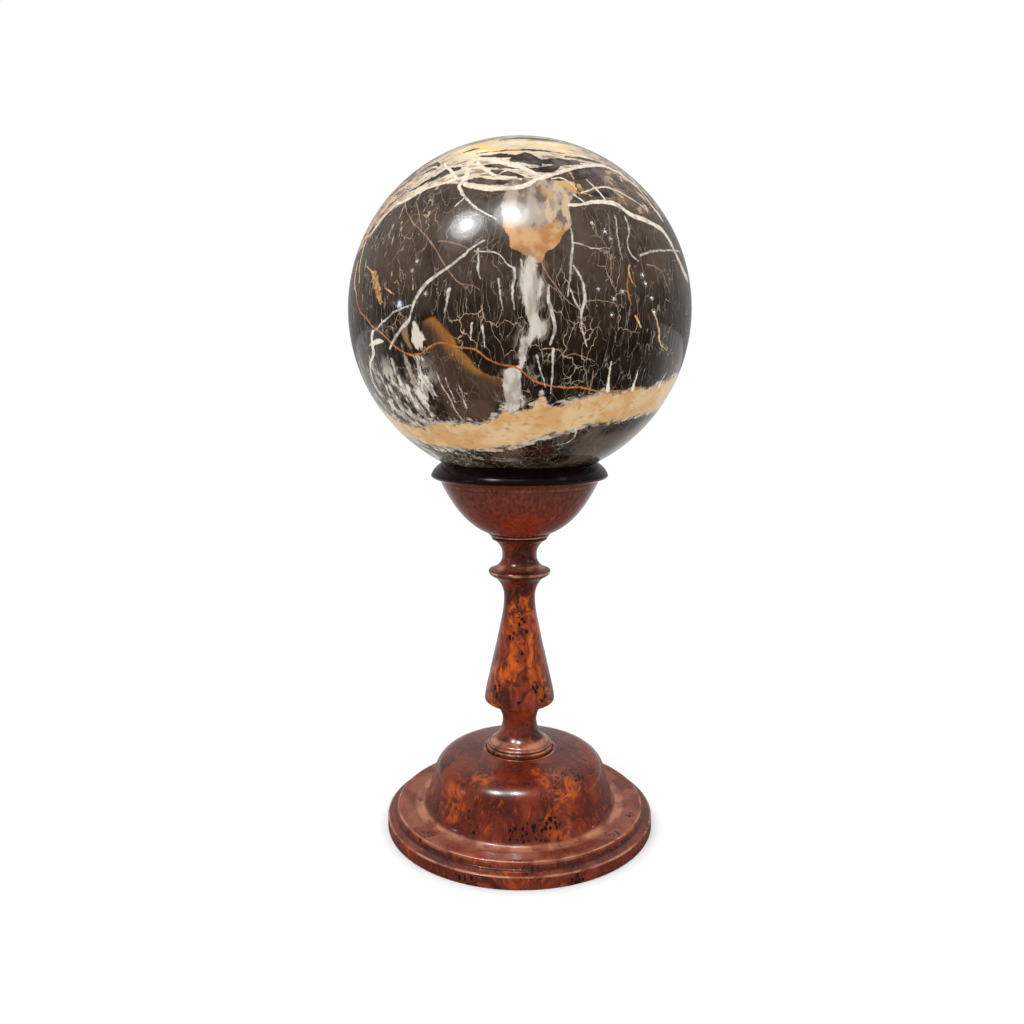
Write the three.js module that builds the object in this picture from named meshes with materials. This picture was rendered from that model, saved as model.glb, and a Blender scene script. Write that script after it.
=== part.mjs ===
// Polished marble sphere resting in a turned burl-wood stand: sphere, cup, stem and base.
// Millimetres, +Z up, origin at the centre of the underside of the base.
import * as THREE from "three";

// ---- driving dimensions ----
const SPHERE_RADIUS = 125;
const SPHERE_CENTRE_Z = 375.8;
const BASE_RADIUS = 96.9;
const DOME_ROOT_RADIUS = 70.5;
const SOCKET_RADIUS = 25.2; // shallow recess in the top of the dome that takes the stem foot
const SOCKET_FLOOR_Z = 51;
const STEM_FOOT_RADIUS = 24.4;
const STEM_SHOULDER_RADIUS = 25.8;
const STEM_COLLAR_RADIUS = 23.2;
const STEM_TOP_Z = 211.4;
const CUP_FOOT_RADIUS = 24.1;
const CUP_LIP_RADIUS = 65.6;
const SEAT_RADIUS = 57.5; // ring on which the sphere rests, measured from the axis
const SEAT_CLEARANCE = 1.3; // hollow under the sphere at the middle of the seat
const GAP = 0.3; // daylight left between neighbouring pieces

// ---- fineness ----
const BASE_SIDES = 52;
const STEM_SIDES = 28;
const CUP_SIDES = 48;
const SPHERE_SIDES = 48;
const SPHERE_BANDS = 24;

// A smooth bend from one profile point to another, drawn towards a third; both ends included.
function bend(start, pull, end, steps) {
  const points = [];
  for (let i = 0; i <= steps; i += 1) {
    const t = i / steps;
    const a = (1 - t) * (1 - t);
    const b = 2 * t * (1 - t);
    const c = t * t;
    points.push([
      a * start[0] + b * pull[0] + c * end[0],
      a * start[1] + b * pull[1] + c * end[1],
    ]);
  }
  return points;
}

// A turned solid from [radius, height] points that start and end on the axis.
function turned(name, profile, sides, material) {
  const outline = profile.map(([radius, height]) => new THREE.Vector2(radius, height));
  const geometry = new THREE.LatheGeometry(outline, sides);
  geometry.rotateX(Math.PI / 2);
  const mesh = new THREE.Mesh(geometry, material);
  mesh.name = name;
  return mesh;
}

// Base: flat rim band, ledge, small step, dished flange and a steep round-shouldered dome.
function baseProfile() {
  return [
    [0, 0],
    [BASE_RADIUS - 0.6, 0],
    [BASE_RADIUS, 0.6],
    [BASE_RADIUS, 7.9],
    [BASE_RADIUS - 0.7, 8.5],
    [91.6, 9.6],
    ...bend([90.9, 10], [90.2, 11], [90, 13.9], 2),
    [89.3, 14.6],
    [88, 14.1],
    ...bend([87, 14.4], [80, 14.4], [74.8, 13.2], 2),
    ...bend([73.4, 13], [DOME_ROOT_RADIUS, 13], [68.6, 18], 3),
    [64.6, 30],
    ...bend([62.8, 37], [59.6, 47.2], [48, 49.7], 5),
    [SOCKET_RADIUS + 0.6, 52.4],
    [SOCKET_RADIUS, 52.2],
    [SOCKET_RADIUS, SOCKET_FLOOR_Z],
    [0, SOCKET_FLOOR_Z],
  ];
}

// Stem: ringed foot, thin neck, long cone, collar, spool and two beads under the cup.
function stemProfile() {
  return [
    [0, SOCKET_FLOOR_Z + GAP],
    [STEM_FOOT_RADIUS - 0.3, SOCKET_FLOOR_Z + GAP],
    [STEM_FOOT_RADIUS, 53],
    [STEM_FOOT_RADIUS - 0.3, 54.9],
    [23, 55.4],
    [23.3, 56.7],
    [22.3, 57.7],
    [21, 57.9],
    ...bend([20.3, 58.8], [13.6, 63], [12.5, 72], 4),
    ...bend([12.5, 74.5], [13.4, 81.5], [19.2, 86.1], 2),
    [24.2, 87.2],
    [STEM_SHOULDER_RADIUS - 0.2, 88.6],
    [STEM_SHOULDER_RADIUS, 90.8],
    [24.7, 97.2],
    [16.5, 133.5],
    ...bend([14.2, 145], [11.6, 156], [11.6, 164], 2),
    ...bend([11.8, 168], [13.2, 174.5], [17.4, 178.4], 3),
    [20.6, 180.2],
    [22.6, 181.8],
    [STEM_COLLAR_RADIUS, 183.5],
    [22.5, 184.8],
    [20.3, 185.6],
    ...bend([18, 186.6], [13, 189.4], [12.9, 195.6], 3),
    ...bend([13, 198.4], [14, 203], [18.8, 206.6], 3),
    [20.6, 207.4],
    [20.8, 208.7],
    [19.8, 209.2],
    [22, 209.7],
    [22.3, 210.8],
    [21.9, STEM_TOP_Z],
    [0, STEM_TOP_Z],
  ];
}

// Height of the hollow seat at a given radius: it touches at the seat ring and drops away below.
function seatHeight(radius) {
  const reach = SPHERE_RADIUS + GAP;
  const follow = SPHERE_CENTRE_Z - Math.sqrt(reach * reach - radius * radius);
  return follow - (SEAT_CLEARANCE - GAP) * (1 - (radius / SEAT_RADIUS) ** 2);
}

// Cup: small flat foot, round bowl, overhanging lip and a hollow seat that follows the sphere.
function cupProfile() {
  const seat = [];
  const steps = 5;
  for (let i = steps; i >= 0; i -= 1) {
    const radius = (SEAT_RADIUS * i) / steps;
    seat.push([radius, seatHeight(radius)]);
  }
  return [
    [0, STEM_TOP_Z + GAP],
    [CUP_FOOT_RADIUS - 0.4, STEM_TOP_Z + GAP],
    [CUP_FOOT_RADIUS, 212.5],
    ...bend([26.6, 213.4], [44.6, 222], [57.6, 248.6], 6),
    [58.9, 251.4],
    [64.6, 253.5],
    ...bend([CUP_LIP_RADIUS, 255], [64.2, 259.8], [59.2, 263.4], 3),
    ...seat,
  ];
}

// Sphere: one solid marble ball, its poles on the vertical axis.
function marbleSphere(material) {
  const geometry = new THREE.SphereGeometry(SPHERE_RADIUS, SPHERE_SIDES, SPHERE_BANDS);
  geometry.rotateX(Math.PI / 2);
  geometry.translate(0, 0, SPHERE_CENTRE_Z);
  const mesh = new THREE.Mesh(geometry, material);
  mesh.name = "marble_sphere";
  return mesh;
}

const marble = new THREE.MeshStandardMaterial({
  name: "marble",
  color: 0x3a2c22,
  roughness: 0.12,
  metalness: 0,
});
const burlWood = new THREE.MeshStandardMaterial({
  name: "burl_wood",
  color: 0x7a3418,
  roughness: 0.3,
  metalness: 0,
});

const part = new THREE.Group();
part.name = "decorative_sphere";
part.add(turned("base", baseProfile(), BASE_SIDES, burlWood));
part.add(turned("stem", stemProfile(), STEM_SIDES, burlWood));
part.add(turned("cup", cupProfile(), CUP_SIDES, burlWood));
part.add(marbleSphere(marble));

export default part;
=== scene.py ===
"""A polished marble ball on a turned burl stand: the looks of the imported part, on its frame."""
import math

import bpy
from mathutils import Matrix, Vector


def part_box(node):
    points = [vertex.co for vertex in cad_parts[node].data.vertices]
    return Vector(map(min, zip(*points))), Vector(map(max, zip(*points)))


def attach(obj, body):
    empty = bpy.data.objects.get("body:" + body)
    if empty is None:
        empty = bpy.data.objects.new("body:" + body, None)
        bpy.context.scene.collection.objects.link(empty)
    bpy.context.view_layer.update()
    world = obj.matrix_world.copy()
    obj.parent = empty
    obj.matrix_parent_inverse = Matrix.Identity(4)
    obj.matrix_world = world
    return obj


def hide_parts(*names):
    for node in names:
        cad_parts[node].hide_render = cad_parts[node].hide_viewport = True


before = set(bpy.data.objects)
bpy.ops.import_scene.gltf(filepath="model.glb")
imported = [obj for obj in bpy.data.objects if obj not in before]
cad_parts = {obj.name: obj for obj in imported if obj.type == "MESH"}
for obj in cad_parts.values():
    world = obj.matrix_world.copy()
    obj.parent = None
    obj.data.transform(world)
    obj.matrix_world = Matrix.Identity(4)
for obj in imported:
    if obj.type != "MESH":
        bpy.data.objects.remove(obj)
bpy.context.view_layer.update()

MM = 0.001
GAP = 0.3

# The four nodes' boxes give the driving sizes, in millimetres.
SPHERE_LOW, SPHERE_HIGH = (Vector(corner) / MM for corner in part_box("marble_sphere"))
_, BASE_HIGH = (Vector(corner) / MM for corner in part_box("base"))
STEM_LOW, STEM_HIGH = (Vector(corner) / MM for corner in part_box("stem"))
_, CUP_HIGH = (Vector(corner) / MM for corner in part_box("cup"))
SPHERE_RADIUS = (SPHERE_HIGH.z - SPHERE_LOW.z) / 2
SPHERE_CENTRE_Z = (SPHERE_HIGH.z + SPHERE_LOW.z) / 2
BASE_RADIUS = BASE_HIGH.x
STEM_SHOULDER_RADIUS = STEM_HIGH.x
CUP_LIP_RADIUS = CUP_HIGH.x
SOCKET_FLOOR_Z = STEM_LOW.z - GAP
STEM_TOP_Z = STEM_HIGH.z

# The sizes inside a node's outline, and the fineness of the turned shapes.
DOME_ROOT_RADIUS = 70.5
SOCKET_RADIUS = 25.2
STEM_FOOT_RADIUS = 24.4
STEM_COLLAR_RADIUS = 23.2
CUP_FOOT_RADIUS = 24.1
SEAT_RADIUS = 57.5
SEAT_CLEARANCE = 1.3
LIP_FOOT_Z = 252.8
TURNED_SIDES = 192
BALL_SIDES = 256
BALL_BANDS = 128
ARRIS = 0.35


# ---------------------------------------------------------------- turned shapes

def bend(start, pull, end, steps=12):
    """Points along one smooth curve from start to end, pulled towards a middle point."""
    points = []
    for step in range(steps + 1):
        t = step / steps
        a, b, c = (1 - t) ** 2, 2 * t * (1 - t), t * t
        points.append(tuple(a * s + b * p + c * e for s, p, e in zip(start, pull, end)))
    return points


def softened(profile, size=ARRIS):
    """The profile with a small round on each corner, as sanding leaves it."""
    path = [Vector(point) for point in profile]
    soft = [path[0]]
    for before, corner, after in zip(path, path[1:], path[2:]):
        back, ahead = before - corner, after - corner
        reach = min(size, back.length * 0.4, ahead.length * 0.4)
        turn = math.pi - back.angle(ahead, math.pi)
        if turn < math.radians(12):
            soft.append(corner)
            continue
        enter = corner + back.normalized() * reach
        leave = corner + ahead.normalized() * reach
        soft.append(enter + (enter - corner) * 0.35)
        soft += [Vector(point) for point in bend(enter, corner, leave, 4)]
        soft.append(leave + (leave - corner) * 0.35)
    soft.append(path[-1])
    return [tuple(point) for point in soft]


def turned(name, profile, sides=TURNED_SIDES):
    """A solid turned round the Z axis from [radius, height] points that start and end on the axis."""
    rings = [(radius * MM, height * MM) for radius, height in profile[1:-1]]
    vertices = [(0, 0, profile[0][1] * MM)]
    for radius, height in rings:
        for side in range(sides):
            angle = 2 * math.pi * side / sides
            vertices.append((radius * math.cos(angle), radius * math.sin(angle), height))
    vertices.append((0, 0, profile[-1][1] * MM))
    top = len(vertices) - 1
    faces = []
    for side in range(sides):
        beside = (side + 1) % sides
        faces.append((0, 1 + beside, 1 + side))
        last = 1 + (len(rings) - 1) * sides
        faces.append((top, last + side, last + beside))
        for ring in range(len(rings) - 1):
            low, high = 1 + ring * sides, 1 + (ring + 1) * sides
            faces.append((low + side, low + beside, high + beside, high + side))
    mesh = bpy.data.meshes.new(name)
    mesh.from_pydata(vertices, [], faces)
    mesh.validate()
    mesh.shade_smooth()
    piece = bpy.data.objects.new(name, mesh)
    bpy.context.scene.collection.objects.link(piece)
    return piece


def base_piece():
    """The moulded disc, its cove, and the low dome with a socket for the stem."""
    return turned("turned_base", softened([
        (0, 0),
        (BASE_RADIUS - 0.6, 0),
        (BASE_RADIUS, 0.6),
        (BASE_RADIUS, 7.9),
        (BASE_RADIUS - 0.7, 8.5),
        (91.6, 9.6),
        *bend((90.9, 10), (90.2, 11), (90, 13.9), 6),
        (89.3, 14.6),
        (88, 14.1),
        *bend((87, 14.4), (80, 14.4), (74.8, 13.2), 6),
        *bend((73.4, 13), (DOME_ROOT_RADIUS, 13), (68.6, 18), 8),
        (64.6, 30),
        *bend((62.8, 37), (59.6, 47.2), (48, 49.7), 16),
        (SOCKET_RADIUS + 0.6, 52.4),
        (SOCKET_RADIUS, 52.2),
        (SOCKET_RADIUS, SOCKET_FLOOR_Z),
        (0, SOCKET_FLOOR_Z),
    ]))


def stem_piece():
    """The foot, the waist, the shouldered cone, its neck, and the beads under the cup."""
    return turned("turned_stem", softened([
        (0, SOCKET_FLOOR_Z + GAP),
        (STEM_FOOT_RADIUS - 0.3, SOCKET_FLOOR_Z + GAP),
        (STEM_FOOT_RADIUS, 53),
        (STEM_FOOT_RADIUS - 0.3, 54.9),
        (23, 55.4),
        (23.3, 56.7),
        (22.3, 57.7),
        (21, 57.9),
        *bend((20.3, 58.8), (13.6, 63), (12.5, 72), 12),
        *bend((12.5, 74.5), (13.4, 81.5), (19.2, 86.1), 10),
        (24.2, 87.2),
        (STEM_SHOULDER_RADIUS - 0.2, 88.6),
        (STEM_SHOULDER_RADIUS, 90.8),
        (24.7, 97.2),
        (16.5, 133.5),
        *bend((14.2, 145), (11.6, 156), (11.6, 164), 10),
        *bend((11.8, 168), (13.2, 174.5), (17.4, 178.4), 10),
        (20.6, 180.2),
        (22.6, 181.8),
        (STEM_COLLAR_RADIUS, 183.5),
        (22.5, 184.8),
        (20.3, 185.6),
        *bend((18, 186.6), (13, 189.4), (12.9, 195.6), 10),
        *bend((13, 198.4), (14, 203), (18.8, 206.6), 10),
        (20.6, 207.4),
        (20.8, 208.7),
        (19.8, 209.2),
        (22, 209.7),
        (22.3, 210.8),
        (21.9, STEM_TOP_Z),
        (0, STEM_TOP_Z),
    ]))


def seat_height(radius):
    """The height of the hollow that the ball sits in: it touches near the rim and clears below."""
    drop = math.sqrt((SPHERE_RADIUS + GAP) ** 2 - radius ** 2)
    clearance = (SEAT_CLEARANCE - GAP) * (1 - (radius / SEAT_RADIUS) ** 2)
    return SPHERE_CENTRE_Z - drop - clearance


def cup_piece():
    """The open bowl with its rounded lip and the hollow seat."""
    seat = [SEAT_RADIUS * (1 - step / 20) for step in range(21)]
    return turned("turned_cup", softened([
        (0, STEM_TOP_Z + GAP),
        (CUP_FOOT_RADIUS - 0.4, STEM_TOP_Z + GAP),
        (CUP_FOOT_RADIUS, 212.5),
        *bend((26.6, 213.4), (44.6, 222), (57.6, 248.6), 24),
        (58.9, 251.4),
        (64.6, 253.5),
        *bend((CUP_LIP_RADIUS, 255), (64.2, 259.8), (59.2, 263.4), 10),
        *[(radius, seat_height(radius)) for radius in seat],
    ]))


def ball_piece():
    """The polished ball, turned from a half circle."""
    half_circle = []
    for band in range(BALL_BANDS + 1):
        angle = math.pi * (band / BALL_BANDS - 0.5)
        height = SPHERE_CENTRE_Z + SPHERE_RADIUS * math.sin(angle)
        half_circle.append((SPHERE_RADIUS * math.cos(angle), height))
    return turned("polished_ball", half_circle, BALL_SIDES)


# ---------------------------------------------------------------- material nodes

def srgb(red, green, blue):
    """A colour given as 0 to 255 screen values, in the linear light that shaders take."""
    return (*[((value / 255 + 0.055) / 1.055) ** 2.4 if value > 10 else value / 3294.6
              for value in (red, green, blue)], 1)


class Net:
    """Writes nodes as expressions: each method adds a node and returns its output."""

    def __init__(self, tree):
        self.tree = tree

    def add(self, kind, inputs, **settings):
        node = self.tree.nodes.new(kind)
        for name, value in settings.items():
            setattr(node, name, value)
        for socket, value in inputs.items():
            self.feed(node.inputs[socket], value)
        return node

    def feed(self, socket, value):
        if isinstance(value, bpy.types.NodeSocket):
            self.tree.links.new(value, socket)
        else:
            socket.default_value = value

    def math(self, operation, *values):
        return self.add("ShaderNodeMath", dict(enumerate(values)), operation=operation).outputs[0]

    def times(self, *values):
        product = values[0]
        for value in values[1:]:
            product = self.math("MULTIPLY", product, value)
        return product

    def plus(self, value, other):
        return self.math("ADD", value, other)

    def minus(self, value, other):
        return self.math("SUBTRACT", value, other)

    def most(self, value, other):
        return self.math("MAXIMUM", value, other)

    def least(self, value, other):
        return self.math("MINIMUM", value, other)

    def vector(self, operation, *values):
        node = self.add("ShaderNodeVectorMath", dict(enumerate(values)), operation=operation)
        return node.outputs["Value" if operation == "LENGTH" else "Vector"]

    def stretch(self, place, x, y, z):
        return self.vector("MULTIPLY", place, (x, y, z))

    def split(self, place):
        return self.add("ShaderNodeSeparateXYZ", {0: place}).outputs

    def noise(self, place, scale, detail=2.0, roughness=0.5, output="Fac"):
        node = self.add("ShaderNodeTexNoise", {
            "Vector": place, "Scale": scale, "Detail": detail, "Roughness": roughness})
        return node.outputs[output]

    def cells(self, place, scale, feature="F1", output="Distance"):
        node = self.add("ShaderNodeTexVoronoi", {"Vector": place, "Scale": scale}, feature=feature)
        return node.outputs[output]

    def step(self, value, low, high, start=0.0, end=1.0):
        """A smooth change from start to end while value goes from low to high."""
        return self.add("ShaderNodeMapRange", {
            "Value": value, "From Min": low, "From Max": high, "To Min": start, "To Max": end,
        }, interpolation_type="SMOOTHSTEP").outputs[0]

    def mix(self, amount, under, over):
        node = self.add("ShaderNodeMix", {0: amount, 6: under, 7: over}, data_type="RGBA")
        return node.outputs[2]

    def tint(self, under, over, *amounts):
        return self.mix(self.times(*amounts), under, over)

    def curve(self, value, points, handle="AUTO"):
        """The height at value of a curve through points; it stays level beyond them."""
        node = self.add("ShaderNodeFloatCurve", {"Value": value})
        node.mapping.use_clip = False
        node.mapping.extend = "HORIZONTAL"
        knots = node.mapping.curves[0].points
        for knot, point in zip(list(knots), (points[0], points[-1])):
            knot.location = point
        for point in points[1:-1]:
            knots.new(*point)
        for knot in knots:
            knot.handle_type = handle
        node.mapping.update()
        return node.outputs[0]

    def jitter(self, place, scale, reach, detail=2.0):
        """The place moved about by up to half of reach, by noise of that scale."""
        colour = self.noise(place, scale, detail, output="Color")
        centred = self.vector("SUBTRACT", colour, (0.5, 0.5, 0.5))
        return self.vector("ADD", place, self.vector("MULTIPLY", centred, (reach, reach, reach)))


class Paint(Net):
    """The nodes of one new material."""

    def __init__(self, name):
        self.material = bpy.data.materials.new(name)
        self.material.use_nodes = True
        super().__init__(self.material.node_tree)
        self.shader = self.tree.nodes["Principled BSDF"]

    def put(self, name, value):
        self.feed(self.shader.inputs[name], value)


# ---------------------------------------------------------------- the marble's pattern
# Places on the ball are (longitude, latitude) in degrees: longitude 0 faces -Y and grows
# towards +X, latitude 90 is the top. Widths are in millimetres.

ASH_VEINS = [
    # the main vein of the left side, its fork and the vein that falls from them
    ([(-10.5, 15), (-14.5, 12.5), (-17, 10.5), (-21.5, 7.5), (-25, 5), (-28.5, 2.5), (-31, 0),
      (-32.5, -3), (-34, -7), (-37.5, -9.3), (-41, -12), (-43.5, -14.5)], (1.2, 2.2, 1.8)),
    ([(-33, -2.5), (-40, -4.3), (-47, -7.3), (-50.5, -9)], (0.9, 1.2)),
    # short uprights in the middle
    ([(-12, 12.5), (-11.8, 7), (-11.2, 4)], (1.2, 0.5)),
    ([(-20.5, 1.3), (-21.5, -5)], (2.2, 0.8)),
    ([(-2.3, 6.8), (-2.2, 1), (-1.8, -4.5)], (1.6, 1.4, 0.6)),
    ([(-6.2, 4), (-5, -4)], (1.0, 0.6)),
    ([(-0.5, 9), (0.6, 2), (0.2, -3)], (0.8, 1.2, 0.5)),
    ([(15, 19), (15.3, 14.5), (14.3, 9.5), (13.7, 3.5), (12.8, -1)], (0.9, 1.5, 0.6)),
    ([(15, 7.5), (16.8, 4.8), (18, -1.3), (17, -5), (17.3, -9), (19.8, -15)], (1.3, 2.1, 0.7)),
    ([(13.7, 1), (15.5, -2.5), (17, -4.5)], (0.9, 1.1)),
    ([(7.5, 2), (7.5, -1.5), (8.8, -6.5), (9.2, -10), (8.2, -14.5)], (1.0, 2.6, 1.2)),
    ([(9, -15.5), (9.5, -20), (10, -28.5)], (2.0, 1.1, 0.5)),
    ([(4.3, -17.5), (8, -26.5)], (1.0, 0.6)),
    ([(-11, -9), (-10.5, -15)], (1.4, 0.5)),
    ([(-14, -8), (-14.5, -13)], (0.9, 0.4)),
    ([(31.5, 24.5), (30.5, 15), (31, 10.3)], (0.9, 0.8, 0.4)),
    ([(36, 25), (35.5, 20.5), (34, 13.5), (36.5, 10.5)], (1.2, 0.9, 1.6)),
    ([(38, 12), (44.5, 14), (55, 16), (66, 16.5)], (1.3, 1.2, 1.4)),
    ([(15.3, 14.5), (18, 14), (20.5, 13), (25, 13.2)], (0.9, 0.6)),
    ([(-13, 11.8), (-10, 11.5), (-7, 11.3), (-4, 8), (-2.3, 6.8)], (0.8, 0.7)),
    ([(22.5, -42), (23.5, -44), (23, -46.5), (17.5, -48.5)], (1.2, 0.8, 0.5)),
    ([(-34, -17), (-32, -25), (-31, -31)], (0.5, 1.0, 0.6)),
    ([(-24, -24), (-23, -32)], (0.5, 0.9, 0.5)),
    ([(-20, -26), (-19, -34)], (0.4, 0.8)),
    ([(-27, -22), (-25, -30), (-22, -38)], (0.4, 0.7, 0.4)),
    # the back
    ([(80, 18), (98, 8), (112, 4), (128, -8), (140, -12)], (1.0, 2.2, 0.8)),
    ([(118, 2), (117, -8), (121, -20)], (1.2, 0.7)),
    ([(160, 30), (156, 18), (158, 4), (152, -8)], (1.4, 1.8, 0.6)),
    ([(-170, 12), (-150, 6), (-132, 8), (-116, -2), (-98, -6)], (0.8, 1.8, 1.2)),
    ([(-140, 7), (-141, -6), (-136, -18), (-138, -30)], (1.4, 2.0, 0.8)),
    ([(-104, 16), (-102, 4), (-106, -10)], (0.8, 1.3, 0.5)),
    ([(172, -2), (174, -14), (170, -24)], (0.7, 1.4, 0.6)),
]

# Torn grey-white flames of the lower left.
FLAMES = [
    ([(-51, -26), (-50.5, -31), (-45, -38.5)], (3, 5, 4)),
    ([(-66, -29), (-62, -37)], (4, 3)),
    ([(-31, -23.5), (-30, -29.5)], (5, 3)),
    ([(-44, -18), (-43, -26), (-40, -33)], (2, 4, 2)),
    ([(-38, -17), (-36.5, -26), (-35, -37)], (3, 6, 3)),
    ([(-33, -17), (-33, -24), (-34, -31)], (3, 4, 5)),
    ([(-41, -27), (-40, -34), (-38, -38)], (3, 7, 3)),
    ([(-57, -32), (-52, -37), (-47, -41)], (4, 8, 4)),
    ([(-46, -33), (-43, -38), (-40, -40)], (3, 7, 4)),
]

WHITE_VEINS = [
    # the knot at the left and the vein that falls from it
    ([(-46.5, -12), (-49, -12), (-52, -12.8), (-55, -13.5)], (1.6, 4.4, 0.8)),
    ([(-50.5, -8.5), (-52.5, -11.5), (-53.5, -16), (-58, -19.3), (-61, -24)], (2.6, 2.8, 1.0)),
    # the main vein of the right side
    ([(15, 26.5), (19, 27), (22.5, 28.5), (28, 29), (33.5, 28.7), (39, 26), (45, 24.8),
      (52, 23.5), (55.5, 22), (59, 17.5), (60.5, 14.5), (63.5, 11.5), (69, 8.5)], (2.0, 4.0, 4.6)),
    ([(17.5, 30.5), (20, 28.5), (21.5, 27.5)], (1.4, 1.0)),
    # the sweep over the upper right and its crossing veins
    ([(14, 39.3), (18.5, 41), (30.5, 44.8), (37.5, 46.3), (44, 46), (53, 40), (56, 33),
      (59, 27.5)], (2.2, 3.8, 3.0)),
    ([(20, 31.5), (27, 33.7), (33, 34.5), (42, 32), (49.5, 28.5)], (0.9, 1.5, 0.8)),
    ([(25, 37), (27, 33.7), (29.5, 30)], (0.8, 1.7, 1.2)),
    ([(11, 36.5), (15.5, 37), (19, 33)], (0.8, 1.4, 0.8)),
    # the sweep over the upper left, and the veins that leave it
    ([(-60, 22), (-54, 28), (-50, 31), (-46, 31.5), (-42, 33), (-38, 34.5), (-33.5, 35.5),
      (-29.5, 36), (-24, 37), (-21, 37.8)], (2.4, 2.6, 2.2)),
    ([(-22, 34), (-18.5, 30), (-15.3, 27), (-8, 21.5)], (2.2, 1.4, 0.8)),
    ([(-18.5, 30), (-21, 27)], (1.2, 0.6)),
    ([(-20.5, 42), (-20.5, 38), (-22, 34)], (2.8, 4.0, 2.4)),
    ([(-19, 45), (-14, 41.5), (-9, 38), (-4, 36.3), (0, 35.6)], (3.0, 2.2, 1.6)),
    ([(-20, 34.8), (-12, 32.6), (-4, 32), (2, 33.5), (6, 36.5), (10, 38), (14, 39.3)],
     (3.6, 3.4, 2.2)),
    ([(-22, 47), (-12, 46), (-4, 43), (4, 39.5), (8, 37)], (3.0, 4.6, 2.2)),
    ([(-9, 37.5), (-5, 39.6), (-1, 40.2)], (1.0, 0.9)),
    ([(-24, 37), (-30, 42), (-36, 47)], (2.4, 1.8)),
    # flames that rise from the gold band
    ([(28.3, -19), (28.5, -23.3), (29.5, -28.3)], (0.5, 1.4, 3.4)),
    ([(40, -21.5), (40.3, -25.5), (41, -28)], (0.6, 1.8, 3.0)),
    ([(57, -22), (56, -25), (56, -27)], (0.8, 1.6, 2.6)),
    # the back
    ([(76, 30), (96, 22), (120, 26), (138, 16), (164, 12), (180, 14)], (2.4, 3.4, 1.8)),
    ([(-180, 14), (-160, 20), (-138, 16), (-112, 22), (-88, 14)], (1.8, 3.0, 2.0)),
    ([(-126, 19), (-124, 6), (-128, -4)], (2.2, 1.6, 0.6)),
    ([(132, -18), (131, -24), (133, -30)], (0.8, 1.8, 3.0)),
    ([(-112, -20), (-113, -26), (-111, -32)], (0.8, 1.8, 3.0)),
]

# Long islands of the dark stone in the cream cap.
DARK_ISLANDS = [
    ([(-50, 45.5), (-44, 47.8), (-38, 46)], (2, 6.5, 2)),
    ([(-46, 43), (-42, 44.6), (-38, 44.2)], (1, 3.6, 1)),
    ([(-37.5, 38.8), (-31.5, 41.2), (-25, 42)], (4, 9, 4)),
    ([(-46, 35.6), (-41, 38), (-36.5, 40.3)], (2, 3.6, 2)),
    ([(-19, 36), (-14, 35.9), (-8, 34.6), (-2, 35)], (3, 6, 5, 2)),
    ([(-11, 39.8), (-6, 38.6), (1, 36.6)], (3, 6.5, 2)),
    ([(-16, 42.6), (-8, 42.4), (0, 40.6)], (2, 6, 3)),
    ([(-19, 48.3), (-10, 48.4), (-3, 47.6)], (2, 5.5, 4)),
    ([(-4, 46), (1.5, 46.6), (8, 44)], (6, 14, 8)),
    ([(2, 41), (9, 40.6), (15.5, 43)], (4, 7, 6)),
    ([(8, 45), (16, 44.8), (25, 45.4)], (4, 9, 5)),
    ([(19, 38.5), (24, 40.2), (30, 41.2), (37, 41)], (7, 13, 13, 8)),
    ([(20, 48.2), (30, 48.6), (40, 48)], (2, 5, 2)),
    ([(13, 37.6), (18, 36), (20, 34)], (2, 4.5, 2)),
    ([(22, 31), (28, 31.6), (33, 31.8)], (1, 4.4, 2)),
    ([(38, 40), (42, 38.5), (47, 36.5)], (3, 7, 3)),
    ([(-22, 50.8), (-4, 51.4), (10, 51.2), (22, 50.4)], (0.8, 2, 2.4, 1)),
    ([(-14, 61.5), (2, 63.5), (20, 63), (38, 59.5)], (1, 4, 4, 1)),
    ([(-60, 27), (-54, 32), (-48, 36)], (1, 2.6, 1)),
    ([(-30, 53), (-26, 54), (-22, 54)], (1, 3.4, 1)),
]

CREAM_VEINS = [
    ([(-66, 28), (-64, 21), (-63, 14.5), (-60.5, 6.5)], (3, 3, 1)),
    ([(-66, 14), (-65, 6), (-62.5, 2.5)], (2.4, 1.2)),
    ([(-56, 11), (-51, 8.3)], (0.8, 0.8)),
    ([(-44, 3), (-40, 1)], (0.8, 0.6)),
    ([(35, -5.5), (37.5, -8.5)], (1.4, 1)),
    ([(42, -3.5), (45.5, -8), (47, -12), (52.5, -14.5)], (1, 1.4, 0.7)),
    ([(33, 9), (32.5, 7), (34.5, 3)], (1.2, 0.8)),
]

PINK_VEINS = [
    ([(-45, 31), (-40.5, 26.5), (-34, 20.5), (-29.5, 17), (-26, 14), (-22, 8.5), (-20, 5.5),
      (-17.5, 3), (-13.8, 2.2), (-11.5, 0.7)], (0.8, 0.9, 0.6)),
    ([(-38, 30), (-35, 25.5), (-32.5, 20)], (0.8, 0.6)),
    ([(-24.8, 15.5), (-21.5, 15.2), (-15.5, 12.8)], (0.7, 0.6)),
    ([(28.5, 25), (27.5, 18)], (0.7, 0.5)),
    ([(6, 8), (7.7, 4.5), (12, -1.3), (16.5, -4)], (0.9, 0.6)),
    ([(6, -16), (11, -16), (12.5, -17.5), (15.5, -17), (19, -18.3), (22.5, -19.3)], (0.9, 0.6)),
    ([(26.5, 12.5), (26.2, 8.5), (26.3, 5.8), (24.5, 4)], (0.7, 0.5)),
    ([(18.5, -1.8), (27, -2)], (0.7, 0.5)),
    ([(40, 9.8), (47, 8), (49, 2.5)], (0.8, 0.5)),
    ([(22.5, -22), (22.5, -29)], (0.7, 0.9)),
]

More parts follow.
